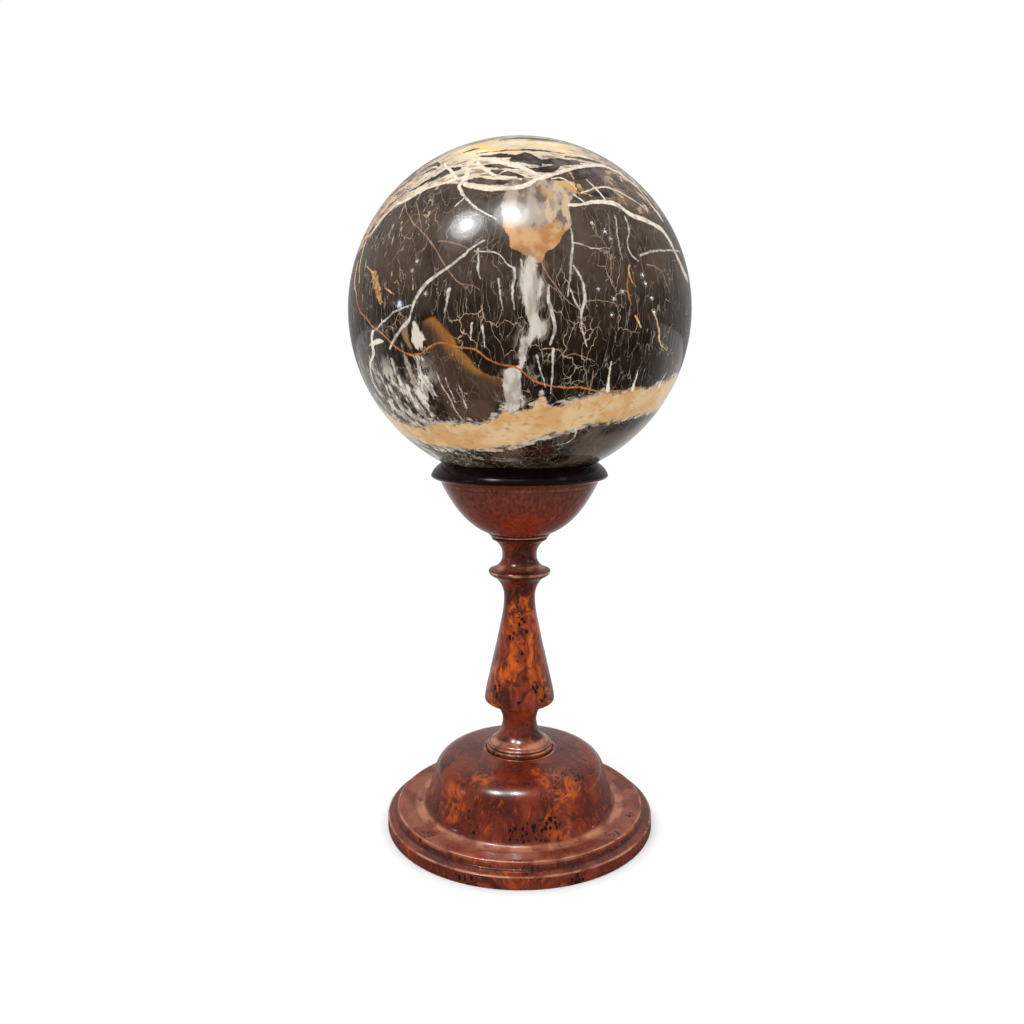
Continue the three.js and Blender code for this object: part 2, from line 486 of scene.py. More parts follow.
ORANGE_VEINS = [
    ([(-63, 2.5), (-59.5, -2), (-55.5, -4.5), (-51, -7), (-46, -10), (-40.5, -14.6), (-36, -16.6),
      (-32, -16.5), (-25.7, -14), (-20, -14.3), (-13.3, -16), (-7.3, -19.2), (-1.5, -21),
      (2.5, -24), (7, -25.5), (17.5, -27.3), (32, -28.3), (45, -26.3)], (1.3, 1.2, 1.2)),
    ([(32, 6), (32, 1), (33, -2.5)], (0.5, 1.1, 0.5)),
]

TAN_SPOTS = [
    ([(20.5, 35), (20.8, 32.5), (23.5, 31)], (2, 3.4, 1.6)),
    ([(38, 42.5), (40.5, 43.6), (43, 44.5)], (2, 3, 1.5)),
    ([(38.5, 44), (38.2, 40)], (1.6, 1.0)),
    ([(18.5, 41.5), (19.5, 37)], (2, 1.6)),
    ([(-32, 36.4), (-27, 36.8), (-22.5, 36.4)], (1, 2.4, 1)),
    ([(14.5, 35), (17, 33.5), (19.5, 31)], (3, 4, 2)),
    ([(-50.5, 8.5), (-48.5, 4), (-46, -1)], (5, 7, 4)),
]

HAIRLINE_AREAS = [(-13, -8, 18), (-4, -11, 16), (8, -12, 16), (16, -14, 16), (28, 5, 16), (32, -6, 14),
                  (-30, 22, 12), (18, -24, 12), (-22, -32, 14), (14, 4, 10)]

GOLD_BAND_TOP = [
    (-180, -32), (-150, -36), (-120, -30), (-95, -33), (-75, -35), (-52, -41), (-43, -41.5),
    (-34, -39.5), (-21, -39.5), (-13.5, -38.8), (-8.5, -36.5), (-4.5, -34.7), (1, -35),
    (4.5, -33.3), (7.5, -29), (9.5, -33.5), (14.5, -32.5), (23.5, -29.5), (28, -28.3),
    (36.5, -29), (41, -27.5), (50, -27), (59, -25), (66, -23), (90, -21), (125, -27), (150, -25),
    (180, -32)]
GOLD_BAND_FOOT = [
    (-180, -41), (-140, -46), (-110, -40), (-85, -45), (-70, -47), (-57, -49), (-45, -50.5),
    (-33, -51), (-18.5, -51), (-5, -49.3), (1, -47.5), (10.5, -44.3), (16, -44), (22.5, -42),
    (28.5, -40), (38, -39.7), (46, -38), (57, -36.5), (90, -34), (130, -38), (180, -41)]

CAP_FOOT = [(-180, 40), (-140, 30), (-100, 26), (-75, 16), (-60, 21.5), (-54, 27), (-46, 31), (-38, 34),
            (-30, 35.6), (-21, 34.5), (-12, 32), (-4, 31.5), (3, 33.5), (10, 37), (18.5, 40.5),
            (30.5, 44), (37.5, 45.6), (44, 45), (53, 39.5), (60, 34), (80, 30), (120, 42),
            (180, 40)]

TAN_SHIELD_LEFT = [(8, 3.5), (9.8, 1), (11.7, -1.2), (12.3, -3), (14.8, -4), (18, -5.3),
                   (22, -6), (26, -6.5), (30.3, -6), (36, -4)]
TAN_SHIELD_RIGHT = [(8, 3.6), (8.3, 6), (11.3, 7.3), (12.5, 9.5), (15, 11.5), (17.5, 13),
                    (19.5, 15), (22.5, 15.3), (27, 15.5), (30.5, 17.8), (34, 19.3), (40, 18)]
COLUMN_LEFT = [(-39, -4.1), (-34.5, -6.1), (-28, -6.6), (-22, -4.6), (-20, -1.1), (-16, -0.1),
               (-13, 0.1), (-9, 1.6), (-5, 1.1), (0, 0.1), (8, 0.4), (10, 1.9)]
COLUMN_RIGHT = [(-39, 1.9), (-34.5, 0.9), (-28, 0.1), (-22, 1.3), (-20, 2.3), (-16, 2.9),
                (-13, 4.9), (-9, 6.4), (-5, 5.9), (0, 5.4), (5, 5.5), (8, 5.4), (10, 2.1)]
HAZE_LEFT = [(-38, -26), (-35, -27), (-25, -28), (-15, -29), (-9, -30), (-6.5, -28)]
HAZE_RIGHT = [(-38, -14), (-33, -8), (-25.3, -5), (-22, -11.5), (-15, -18.5), (-10.5, -21),
              (-6.5, -25)]
BLOTCH_LEFT = [(-15, -32), (-12, -33.5), (-10, -33.2), (-7, -33)]
BLOTCH_RIGHT = [(-15, -31), (-12, -29.8), (-10, -30), (-7, -31.5)]

BLOTCH_SHADE = [([(-35, -6.5), (-36, -11), (-34.5, -15)], (3, 6, 2))]

# Each group of veins with its colour, the colour that it changes to here and there, its softness
# and fraying in millimetres, and its strength.
VEIN_PAINTS = [
    (PINK_VEINS, srgb(186, 156, 134), srgb(160, 116, 80), 0.22, 0.7, 0.62),
    (ORANGE_VEINS, srgb(190, 116, 54), srgb(160, 96, 48), 0.25, 0.7, 1),
    (CREAM_VEINS, srgb(222, 190, 140), srgb(206, 152, 86), 0.3, 1.6, 1),
    (ASH_VEINS, srgb(208, 202, 194), srgb(164, 154, 144), 0.35, 1.3, 1),
    (WHITE_VEINS, srgb(232, 224, 210), srgb(220, 200, 174), 0.3, 1.5, 1),
]

MM_PER_DEGREE = math.radians(1) * SPHERE_RADIUS
# A vein's curves run on past its ends by this many degrees, down to this depth in millimetres.
VEIN_TIP = (0.8, -1.2)
FAR_OFF = 9.0


def vein_curves(points, widths):
    """A vein as curves over the axis that it mostly follows, with its half width across that axis."""
    lons, lats = zip(*points)
    shrink = math.cos(math.radians(sum(lats) / len(lats)))
    follows_lon = (max(lons) - min(lons)) * shrink > max(lats) - min(lats)
    squeeze = shrink if follows_lon else 1 / shrink
    path = [(lon, lat) if follows_lon else (lat, lon) for lon, lat in points]
    centre, half = [], []
    for index, (along, across) in enumerate(path):
        before, after = path[max(index - 1, 0)], path[min(index + 1, len(path) - 1)]
        slope = (after[1] - before[1]) / ((after[0] - before[0]) * squeeze)
        place = index / (len(path) - 1) * (len(widths) - 1)
        low = min(int(place), len(widths) - 2)
        width = widths[low] + (widths[low + 1] - widths[low]) * (place - low)
        centre.append((along, across))
        half.append((along, width / 2 * math.sqrt(1 + slope ** 2)))
    centre.sort()
    half.sort()
    past, depth = VEIN_TIP
    half = [(half[0][0] - past, depth), *half, (half[-1][0] + past, depth)]
    return follows_lon, centre, half


class Marble(Paint):
    """The ball's material: dark stone with placed veins and patches, and finer ones by noise."""

    def __init__(self):
        super().__init__("veined_marble")
        inside = self.tree.nodes.new("ShaderNodeTexCoord").outputs["Object"]
        centred = self.vector("SUBTRACT", inside, (0, 0, SPHERE_CENTRE_Z * MM))
        self.place = self.stretch(centred, 1 / MM, 1 / MM, 1 / MM)
        self.ragged = self.jitter(self.jitter(self.place, 0.045, 5), 0.4, 1.3, 3)
        x, y, z = self.split(self.vector("NORMALIZE", self.ragged))
        self.lat = self.math("DEGREES", self.math("ARCSINE", z))
        self.lon = self.math("DEGREES", self.math("ARCTAN2", x, self.times(y, -1)))
        self.lon_mm = self.times(self.math("COSINE", self.math("RADIANS", self.lat)), MM_PER_DEGREE)
        self.streaks = self.drawn(0.22)

    def drawn(self, height):
        """The ragged place squeezed to that part of its height, which draws noise out upright."""
        return self.stretch(self.ragged, 1, 1, height)

    def veins(self, strokes):
        """How far inside the nearest of these veins the place lies, in millimetres."""
        inside = -FAR_OFF
        for points, widths in strokes:
            follows_lon, centre, half = vein_curves(points, widths)
            along, across = (self.lon, self.lat) if follows_lon else (self.lat, self.lon)
            off = self.math("ABSOLUTE", self.minus(across, self.curve(along, centre)))
            off = self.times(off, MM_PER_DEGREE if follows_lon else self.lon_mm)
            depth = self.minus(self.curve(along, half, "VECTOR"), off)
            inside = self.most(depth, inside)
        return inside

    def between(self, value, along, low, high, scale):
        """How far inside the strip between two edges the value lies, in millimetres."""
        above = self.minus(value, self.curve(along, low))
        below = self.minus(self.curve(along, high), value)
        inside = self.times(self.least(above, below), scale)
        start, end = low[0][0], low[-1][0]
        if end - start == 360:
            return inside
        rise = (end - start) / 2 * MM_PER_DEGREE
        ends = [(start - 90, -90 * MM_PER_DEGREE), ((start + end) / 2, rise),
                (end + 90, -90 * MM_PER_DEGREE)]
        return self.least(inside, self.curve(along, ends, "VECTOR"))

    def across_lat(self, low, high):
        return self.between(self.lat, self.lon, low, high, MM_PER_DEGREE)

    def across_lon(self, left, right):
        return self.between(self.lon, self.lat, left, right, self.lon_mm)

    def frayed(self, inside, soft, fray, scale, place=None):
        """A mask of the places inside, with its edge softened and frayed, both in millimetres."""
        rough = self.noise(self.ragged if place is None else place, scale, 3, 0.6)
        inside = self.plus(inside, self.times(self.minus(rough, 0.5), fray))
        return self.step(inside, -soft, soft)

    def spots(self, places):
        """A soft mask round places on the ball, each (longitude, latitude, reach in millimetres)."""
        nearest = FAR_OFF
        for lon, lat, reach in places:
            flat = SPHERE_RADIUS * math.cos(math.radians(lat))
            spot = (flat * math.sin(math.radians(lon)), -flat * math.cos(math.radians(lon)),
                    SPHERE_RADIUS * math.sin(math.radians(lat)))
            off = self.vector("LENGTH", self.vector("SUBTRACT", self.place, spot))
            nearest = self.least(self.math("DIVIDE", off, reach), nearest)
        return self.step(nearest, 0.6, 1.2, 1, 0)

    def ground(self):
        """Near-black brown stone, cloudier and greyer in the upper half; the greyer top and darker
        bottom are partly painted reflection.
        """
        cloud = self.noise(self.ragged, 0.05, 4, 0.6)
        dark = self.mix(self.step(cloud, 0.35, 0.65), srgb(16, 8, 4), srgb(36, 24, 16))
        grey = self.mix(self.step(cloud, 0.3, 0.7), srgb(52, 41, 33), srgb(84, 71, 60))
        # Partly painted reflection: the upper half is greyer and the lower half darker, as the gloss
        # would show them.
        stone = self.mix(self.step(self.lat, -16, 16), dark, grey)
        fine = self.noise(self.streaks, 0.5, 3, 0.6)
        return self.tint(stone, srgb(116, 100, 86), self.step(fine, 0.52, 0.8), 0.5)

    def hairlines(self, stone):
        """A jagged net of hair-thin veins, close in some areas, and fainter upright ones."""
        edge = self.cells(self.jitter(self.drawn(0.55), 0.09, 13, 3), 0.085, "DISTANCE_TO_EDGE")
        line = self.step(edge, 0.003, 0.018, 1, 0)
        sparse = self.step(self.noise(self.place, 0.035, 2), 0.53, 0.62, 0, 0.7)
        where = self.most(sparse, self.spots(HAIRLINE_AREAS))
        stone = self.tint(stone, srgb(196, 170, 140), line, where, 0.85)
        edge = self.cells(self.jitter(self.drawn(0.16), 0.12, 8, 3), 0.16, "DISTANCE_TO_EDGE")
        where = self.step(self.noise(self.place, 0.05, 2), 0.60, 0.46, 0, 0.9)
        return self.tint(stone, srgb(170, 156, 140), self.step(edge, 0.004, 0.022, 1, 0), where, 0.6)

    def cream_cap(self, stone):
        """The cap: cream, yellow and pinkish stone round islands of the dark stone."""
        cap = self.minus(self.lat, self.curve(self.lon, CAP_FOOT))
        cap = self.frayed(self.times(cap, MM_PER_DEGREE), 0.8, 5, 0.12)
        lain = self.stretch(self.ragged, 0.5, 1, 1.6)
        pale = self.mix(self.step(self.noise(lain, 0.07, 3), 0.42, 0.6), srgb(208, 192, 172),
                        srgb(228, 212, 184))
        pale = self.mix(self.step(self.noise(lain, 0.16, 4, 0.6), 0.52, 0.66), pale,
                        srgb(150, 126, 108))
        yellow = self.times(self.step(self.lat, 47, 51), self.step(self.lat, 64, 58),
                            self.step(self.math("ABSOLUTE", self.lon), 48, 26))
        warm = self.step(self.noise(lain, 0.09, 4, 0.6), 0.38, 0.60, 0.1, 1)
        golden = self.mix(self.step(self.noise(lain, 0.06, 2), 0.4, 0.6), srgb(238, 200, 128),
                          srgb(248, 232, 182))
        pale = self.tint(pale, golden, yellow, warm)
        pale = self.tint(pale, srgb(212, 164, 122), self.step(self.lon, -40, -58), 0.6)
        return self.cap_islands(self.mix(cap, stone, pale), cap, lain)

    def cap_islands(self, stone, cap, lain):
        """Dark stone in the cap: the placed islands, loose ones at the crown and behind, mottling."""
        islands = self.frayed(self.veins(DARK_ISLANDS), 0.4, 4, 0.22)
        loose = self.noise(self.stretch(self.ragged, 0.45, 1, 2.2), 0.05, 5, 0.62)
        behind = self.step(self.math("ABSOLUTE", self.lon), 40, 60)
        crown = self.step(self.lat, 59, 63, 0.0, 0.9)
        loose = self.times(self.step(loose, 0.51, 0.56), cap, self.most(behind, crown))
        mottled = self.times(cap, self.step(self.noise(lain, 0.13, 4, 0.65), 0.53, 0.60),
                             self.step(self.lat, 52, 48), 0.75)
        stone = self.mix(mottled, stone, srgb(112, 92, 76))
        dark = self.mix(self.step(self.noise(self.ragged, 0.09, 3), 0.4, 0.65), srgb(40, 30, 24),
                        srgb(98, 86, 78))
        return self.mix(self.most(islands, loose), stone, dark)

    def right_limb(self, stone):
        """Brown and cream streaks that fall along the right side, over and under its main vein."""
        falling = self.noise(self.stretch(self.ragged, 0.55, 1, 0.5), 0.17, 4, 0.6)
        where = self.times(self.step(self.lon, 30, 42), self.step(self.lat, 24, 31),
                           self.step(self.lon, 130, 90))
        stone = self.tint(stone, srgb(122, 94, 70), where, self.step(falling, 0.44, 0.54), 0.8)
        return self.tint(stone, srgb(212, 190, 164), where, self.step(falling, 0.56, 0.62), 0.85)

    def tan_spots(self, stone):
        """Small mottled tan spots."""
        spots = self.frayed(self.veins(TAN_SPOTS), 0.4, 6, 0.45)
        tone = self.mix(self.step(self.noise(self.ragged, 0.4, 3), 0.4, 0.6), srgb(206, 164, 108),
                        srgb(160, 106, 58))
        return self.tint(stone, tone, spots, 0.85)

    def haze(self, stone):
        """The translucent ochre triangle, brightest along its right edge, and the blotch beside it."""
        across = self.minus(self.curve(self.lat, HAZE_RIGHT), self.lon)
        from_edge = self.times(across, self.lon_mm)
        inside = self.frayed(self.across_lon(HAZE_LEFT, HAZE_RIGHT), 1.6, 5, 0.1)
        streak = self.step(self.noise(self.streaks, 0.14, 4, 0.6), 0.3, 0.6, 0.5, 1)
        bright = self.times(self.step(from_edge, 15, 2), self.step(self.lat, -30, -18))
        tone = self.mix(bright, srgb(86, 66, 50), srgb(170, 112, 48))
        clear = self.step(bright, 0, 1, 0.62, 0.85)
        stone = self.tint(stone, tone, inside, clear, streak)
        blotch = self.frayed(self.across_lon(BLOTCH_LEFT, BLOTCH_RIGHT), 0.8, 10, 0.4, self.streaks)
        beside = self.frayed(self.veins(BLOTCH_SHADE), 1, 3, 0.3)
        stone = self.tint(stone, srgb(176, 146, 112), beside, 0.5)
        return self.tint(stone, srgb(226, 214, 196), blotch, 0.85)

    def shield(self, stone):
        """The tan patch above the middle, glassy grey with cream streaks in its upper part."""
        inside = self.frayed(self.across_lon(TAN_SHIELD_LEFT, TAN_SHIELD_RIGHT), 0.4, 3.4, 0.22)
        tan = self.mix(self.step(self.noise(self.ragged, 0.1, 3), 0.4, 0.6), srgb(174, 122, 76),
                       srgb(202, 156, 112))
        streak = self.noise(self.streaks, 0.13, 4, 0.6)
        ashen = self.mix(self.step(streak, 0.42, 0.62), srgb(164, 150, 138), srgb(110, 94, 82))
        cream = self.times(self.step(self.lon, 2, 8), self.step(self.noise(
            self.drawn(0.12), 0.2, 3), 0.46, 0.56), 0.8)
        ashen = self.mix(cream, ashen, srgb(206, 180, 146))
        border = self.plus(self.lat, self.times(self.noise(self.ragged, 0.08, 3), 12))
        tan = self.mix(self.step(border, 25, 28), tan, ashen)
        golden = self.times(self.step(self.lat, 26, 33), self.step(self.lon, 3, 12), self.step(
            self.noise(self.streaks, 0.1, 3), 0.4, 0.55))
        tan = self.mix(golden, tan, srgb(206, 158, 94))
        return self.mix(inside, stone, tan)

    def column(self, stone):
        """The ragged white-grey upright that joins the shield to the band."""
        depth = self.across_lon(COLUMN_LEFT, COLUMN_RIGHT)
        streak = self.noise(self.drawn(0.3), 0.17, 4, 0.58)
        beside = self.frayed(self.plus(depth, 3.5), 2.5, 8, 0.3, self.streaks)
        stone = self.tint(stone, srgb(138, 124, 110), beside, self.step(streak, 0.46, 0.56), 0.55)
        torn = self.plus(depth, self.times(self.minus(streak, 0.54), 15))
        ashen = self.mix(self.step(self.noise(self.streaks, 0.2, 4, 0.6), 0.4, 0.62),
                         srgb(212, 204, 194), srgb(178, 164, 150))
        return self.tint(stone, ashen, self.step(torn, -1.0, 1.4), 0.88)

    def lower_left(self, stone):
        """Grey-white flames that hang down the lower left, and one brown patch."""
        flames = self.noise(self.drawn(0.15), 0.2, 5, 0.68)
        patch = self.noise(self.drawn(0.5), 0.06, 3, 0.6)
        flames = self.plus(flames, self.times(self.minus(patch, 0.53), 0.9))
        where = self.times(self.step(self.lon, -24, -36), self.step(self.lat, -14, -25),
                           self.step(self.lon, -76, -62))
        stone = self.tint(stone, srgb(108, 96, 84), where, self.step(flames, 0.40, 0.52), 0.6)
        stone = self.tint(stone, srgb(208, 198, 184), where, self.step(flames, 0.53, 0.63), 0.88)
        torn = self.frayed(self.veins(FLAMES), 0.7, 13, 0.32, self.drawn(0.25))
        tone = self.mix(self.step(flames, 0.40, 0.58), srgb(150, 138, 124), srgb(222, 214, 200))
        stone = self.tint(stone, tone, torn, 0.9)
        brown = self.spots([(-14, -35, 9), (-22, -36, 5)])
        return self.tint(stone, srgb(92, 70, 54), brown, 0.5)

    def gold_band(self, stone):
        """The wide gold band with its ragged grey-white fringe."""
        band = self.across_lat(GOLD_BAND_FOOT, GOLD_BAND_TOP)
        wisps = self.noise(self.stretch(self.ragged, 0.6, 1, 0.8), 0.2, 4, 0.65)
        reach = self.step(self.lon, 30, -10, 12, 24)
        fringe = self.plus(band, self.times(self.minus(wisps, 0.38), reach))
        tone = self.mix(self.step(wisps, 0.42, 0.62), srgb(120, 106, 92), srgb(206, 194, 176))
        stone = self.tint(stone, tone, self.step(fringe, -0.8, 1.2), 0.85)
        gold = self.mix(self.step(self.noise(self.ragged, 0.06, 3), 0.4, 0.6), srgb(206, 160, 106),
                        srgb(214, 184, 140))
        flecks = self.noise(self.stretch(self.ragged, 0.5, 1, 1), 0.35, 3, 0.6)
        gold = self.mix(self.step(flecks, 0.5, 0.72), gold, srgb(190, 142, 92))
        inner = self.minus(band, 1.2)
        return self.mix(self.frayed(inner, 1.2, 10, 0.2), stone, gold)

    def lower_clouds(self, stone):
        """Grey and brown clouds under the band."""
        lain = self.noise(self.stretch(self.ragged, 0.8, 1, 1.5), 0.04, 4, 0.55)
        low = self.times(self.step(self.lat, -36, -42), self.step(lain, 0.42, 0.58))
        stone = self.tint(stone, srgb(96, 82, 68), low, 0.6)
        bits = self.times(self.step(self.lat, -50, -55), self.step(self.lon, 4, -14), self.step(
            self.noise(self.stretch(self.ragged, 0.6, 1, 1.4), 0.16, 4, 0.65), 0.56, 0.64))
        return self.tint(stone, srgb(176, 166, 152), bits, 0.6)

    def over(self, stone, strokes, colour, other, soft, fray, strength):
        """Paints veins over the stone, in a colour that changes here and there to the other one."""
        lively = self.noise(self.ragged, 0.22, 3, 0.6)
        mask = self.frayed(self.veins(strokes), soft, fray, 0.5)
        tone = self.mix(self.step(lively, 0.42, 0.62), colour, other)
        faint = self.step(self.noise(self.place, 0.18, 2), 0.3, 0.5, 0.6, 1)
        return mask, self.tint(stone, tone, mask, faint, strength)

    def build(self):
        """Lays the areas over the ground and the veins over them; the last veins lie a touch low."""
        stone = self.hairlines(self.ground())
        for area in (self.lower_clouds, self.cream_cap, self.right_limb, self.tan_spots, self.haze,
                     self.lower_left, self.shield, self.column, self.gold_band):
            stone = area(stone)
        for paint in VEIN_PAINTS:
            mask, stone = self.over(stone, *paint)
        self.put("Base Color", stone)
        polish = self.noise(self.ragged, 0.3, 3, 0.6)
        self.put("Roughness", self.step(polish, 0.3, 0.7, 0.06, 0.11))
        self.put("IOR", 1.5)
        bump = self.add("ShaderNodeBump", {
            "Height": self.times(mask, -1.0), "Strength": 0.04, "Distance": 0.02 * MM})
        self.put("Normal", bump.outputs[0])
        return self.material


# ---------------------------------------------------------------- the stand's burl wood

class Burl(Paint):
    """Lacquered burl: red-brown wood with gold clouds, swirling grain and clusters of dark eyes."""

    gloss = (0.2, 0.3)
    shine = 0.58
    # How pale the edge rings are: partly scuffed lacquer, partly painted highlight.
    pale_edge_strength = 0.8

    def __init__(self, name, shift, reach=46):
        super().__init__(name)
        inside = self.tree.nodes.new("ShaderNodeTexCoord").outputs["Object"]
        self.place = self.stretch(inside, 1 / MM, 1 / MM, 1 / MM)
        x, y, self.height = self.split(self.place)
        radius = self.math("SQRT", self.plus(self.math("POWER", x, 2), self.math("POWER", y, 2)))
        self.section = self.add("ShaderNodeCombineXYZ", {0: radius, 1: self.height}).outputs[0]
        self.swirl = self.jitter(self.vector("ADD", self.place, shift), 0.022, reach, 2)
        self.grain = self.noise(self.stretch(self.swirl, 1, 1, 0.08), 0.6, 3, 0.6)

    def near(self, spots):
        """A mask of the places near the given spots, each (longitude, height, radius, reach)."""
        nearest = FAR_OFF
        wobbly = self.jitter(self.place, 0.12, 7, 2)
        for lon, height, radius, reach in spots:
            angle = math.radians(lon)
            spot = (radius * math.sin(angle), -radius * math.cos(angle), height)
            off = self.vector("LENGTH", self.vector("SUBTRACT", wobbly, spot))
            nearest = self.least(self.math("DIVIDE", off, reach), nearest)
        return self.step(nearest, 0.75, 1.15, 1, 0)

    def ring(self, corners):
        """A mask of rings round the piece, each (radius, height, reach) on its profile."""
        nearest = FAR_OFF
        for radius, height, reach in corners:
            off = self.vector("LENGTH", self.vector("SUBTRACT", self.section, (radius, height, 0)))
            nearest = self.least(self.math("DIVIDE", off, reach), nearest)
        return self.step(nearest, 0.3, 1, 1, 0)

    def clouded(self, gold_and_highlight_spots):
        """Red-brown wood with flecked gold clouds, placed and by noise, and dark shades; some placed
        spots are a painted highlight.
        """
        cloud = self.noise(self.swirl, 0.035, 4, 0.6)
        wood = self.mix(self.step(cloud, 0.38, 0.62), srgb(70, 21, 10), srgb(132, 50, 24))
        flecks = self.noise(self.stretch(self.swirl, 1, 1, 0.3), 0.22, 4, 0.6)
        gold = self.most(self.near(gold_and_highlight_spots), self.step(cloud, 0.60, 0.72))
        gold = self.times(gold, self.step(flecks, 0.42, 0.60, 0.1, 1))
        wood = self.mix(gold, wood, srgb(198, 88, 14))
        shade = self.step(self.noise(self.swirl, 0.06, 3), 0.52, 0.64)
        return self.tint(wood, srgb(50, 14, 9), shade, 0.75)

    def rubbed_flat(self, wood, low, high):
        """The paler wood between two heights, where the lacquer is rubbed thin."""
        flat = self.times(self.step(self.height, low - 0.5, low + 0.5),
                          self.step(self.height, high + 0.5, high - 0.5))
        self.put("Coat Weight", self.step(flat, 0, 1, self.shine, 0.08))
        rubbed = self.step(self.noise(self.place, 0.06, 4), 0.40, 0.6, 0.2, 0.7)
        return self.tint(wood, srgb(172, 104, 80), flat, rubbed)

    def grained(self, wood):
        """Fine swirling grain, dark and light."""
        dark = self.times(self.step(self.grain, 0.50, 0.70), 0.55)
        light = self.times(self.step(self.grain, 0.46, 0.30), 0.35)
        return self.mix(light, self.mix(dark, wood, srgb(50, 14, 8)), srgb(190, 98, 44))

    def eyed(self, wood, eye_spots):
        """Clusters of dark eyes, placed and by noise."""
        own = self.step(self.noise(self.swirl, 0.07, 2), 0.66, 0.72)
        cluster = self.most(self.near(eye_spots), own)
        wood = self.tint(wood, srgb(84, 30, 16), cluster, 0.4)
        drawn = self.stretch(self.jitter(self.place, 0.35, 2.2), 1, 1, 0.6)
        size = self.noise(self.place, 0.3, 1)
        eyes = self.minus(self.cells(drawn, 0.36), self.times(size, 0.25))
        return self.tint(wood, srgb(26, 8, 7), cluster, self.step(eyes, 0.32, 0.18))

    def pale_edges_and_groove_shade(self, wood, wear_and_highlight_rings, groove_shade):
        """Painted shade darkening the grooves, and pale patchy rings on the edges, partly scuffed
        lacquer and partly painted highlight.
        """
        # Painted shade: the dark rings lie in the grooves, under the steps and between the parts.
        wood = self.tint(wood, srgb(36, 12, 8), self.ring(groove_shade), 0.7)
        # Partly painted highlight: the pale rings follow the arrises and the dome's foot, where the
        # lamps catch the lacquer; partly scuffed lacquer.
        patchy = self.step(self.noise(self.place, 0.09, 3), 0.38, 0.60, 0.15, 1)
        rubbed = self.times(self.ring(wear_and_highlight_rings), self.times(patchy, self.pale_edge_strength))
        return self.mix(rubbed, wood, srgb(200, 136, 106))

    def finished(self, wood):
        """The colour as it is; a kind of burl with tones and painted light of its own replaces this."""
        return wood

    def build(self, gold_and_highlight_spots, eye_spots, wear_and_highlight_rings, groove_shade, red=0.0, pale_ring=None):
        self.put("Coat Weight", self.shine)
        wood = self.mix(red, self.clouded(gold_and_highlight_spots), srgb(112, 36, 20))
        if pale_ring:
            wood = self.rubbed_flat(wood, *pale_ring)
        wood = self.pale_edges_and_groove_shade(self.eyed(self.grained(wood), eye_spots), wear_and_highlight_rings, groove_shade)
        self.put("Base Color", self.finished(wood))
        self.put("Roughness", self.step(self.grain, 0.3, 0.7, *self.gloss))
        self.put("Specular IOR Level", self.shine * 0.6)
        self.put("Coat Roughness", 0.12)
        bump = self.add("ShaderNodeBump", {
            "Height": self.grain, "Strength": 0.12, "Distance": 0.05 * MM})
        self.put("Normal", bump.outputs[0])
        return self.material


class LippedBurl(Burl):
    """The cup's burl: upright figure, a painted grey reflection towards the rim, and painted shade that
    makes the lip and seat almost black.
    """

    gloss = (0.12, 0.18)
    shine = 0.28
    pale_edge_strength = 0.35

    def finished(self, wood):
        # Painted reflection: the bowl greys towards the rim, as if it mirrored the bright room.
        painted_rim_reflection = self.step(self.height, LIP_FOOT_Z - 32, LIP_FOOT_Z - 12, 0, 0.55)
        wood = self.mix(painted_rim_reflection, wood, srgb(94, 58, 48))
        figure = self.noise(self.stretch(self.place, 1, 1, 0.04), 0.4, 3)
        wood = self.mix(self.step(figure, 0.42, 0.6, 0, 0.5), wood, srgb(58, 22, 15))
        heart = self.times(self.near([(6, 222, 40, 13), (-8, 221, 38, 10)]), 0.35)
        wood = self.mix(heart, wood, srgb(132, 44, 22))
        # Painted shade: the lip and seat turn almost black, as if shaded by the ball and mirroring it.
        black = self.step(self.height, LIP_FOOT_Z - 0.5, LIP_FOOT_Z + 0.7)
        return self.tint(wood, srgb(14, 2, 2), black, 0.98)


def base_wood():
    return Burl("burl_base", (40, 10, 5)).build(
        gold_and_highlight_spots=[(30, 44, 55, 16), (20, 50, 44, 8), (-48, 30, 64, 13), (22, 25, 67, 12),
                    (-30, 48, 50, 8)],
        eye_spots=[(46, 46, 54, 7), (36, 49, 48, 5), (28, 46, 54, 6), (-2, 20, 68, 7),
                   (5, 23, 68, 7), (13, 22, 67, 8), (20, 26, 66, 6), (-30, 28, 65, 5),
                   (-28, 20, 67, 5), (-30, 49, 46, 6), (-60, 11, 92, 5), (-22, 6, 97, 8),
                   (70, 12, 84, 5), (22, 6, 97, 6), (-50, 13, 84, 6), (48, 12, 84, 4),
                   (3, 10, 92, 4), (-75, 44, 56, 8), (130, 30, 65, 12), (-150, 35, 62, 12)],
        # The pale edge rings are partly scuffed lacquer and partly painted highlight.
        wear_and_highlight_rings=[(96.4, 8.2, 1), (89.3, 14.5, 1), (73.5, 13.8, 4.6), (25.8, 52.4, 1.6)],
        # The dark groove rings are painted shade.
        groove_shade=[(91, 9.8, 1.4), (80, 12.8, 1)], red=0.3, pale_ring=(12.6, 14.6))


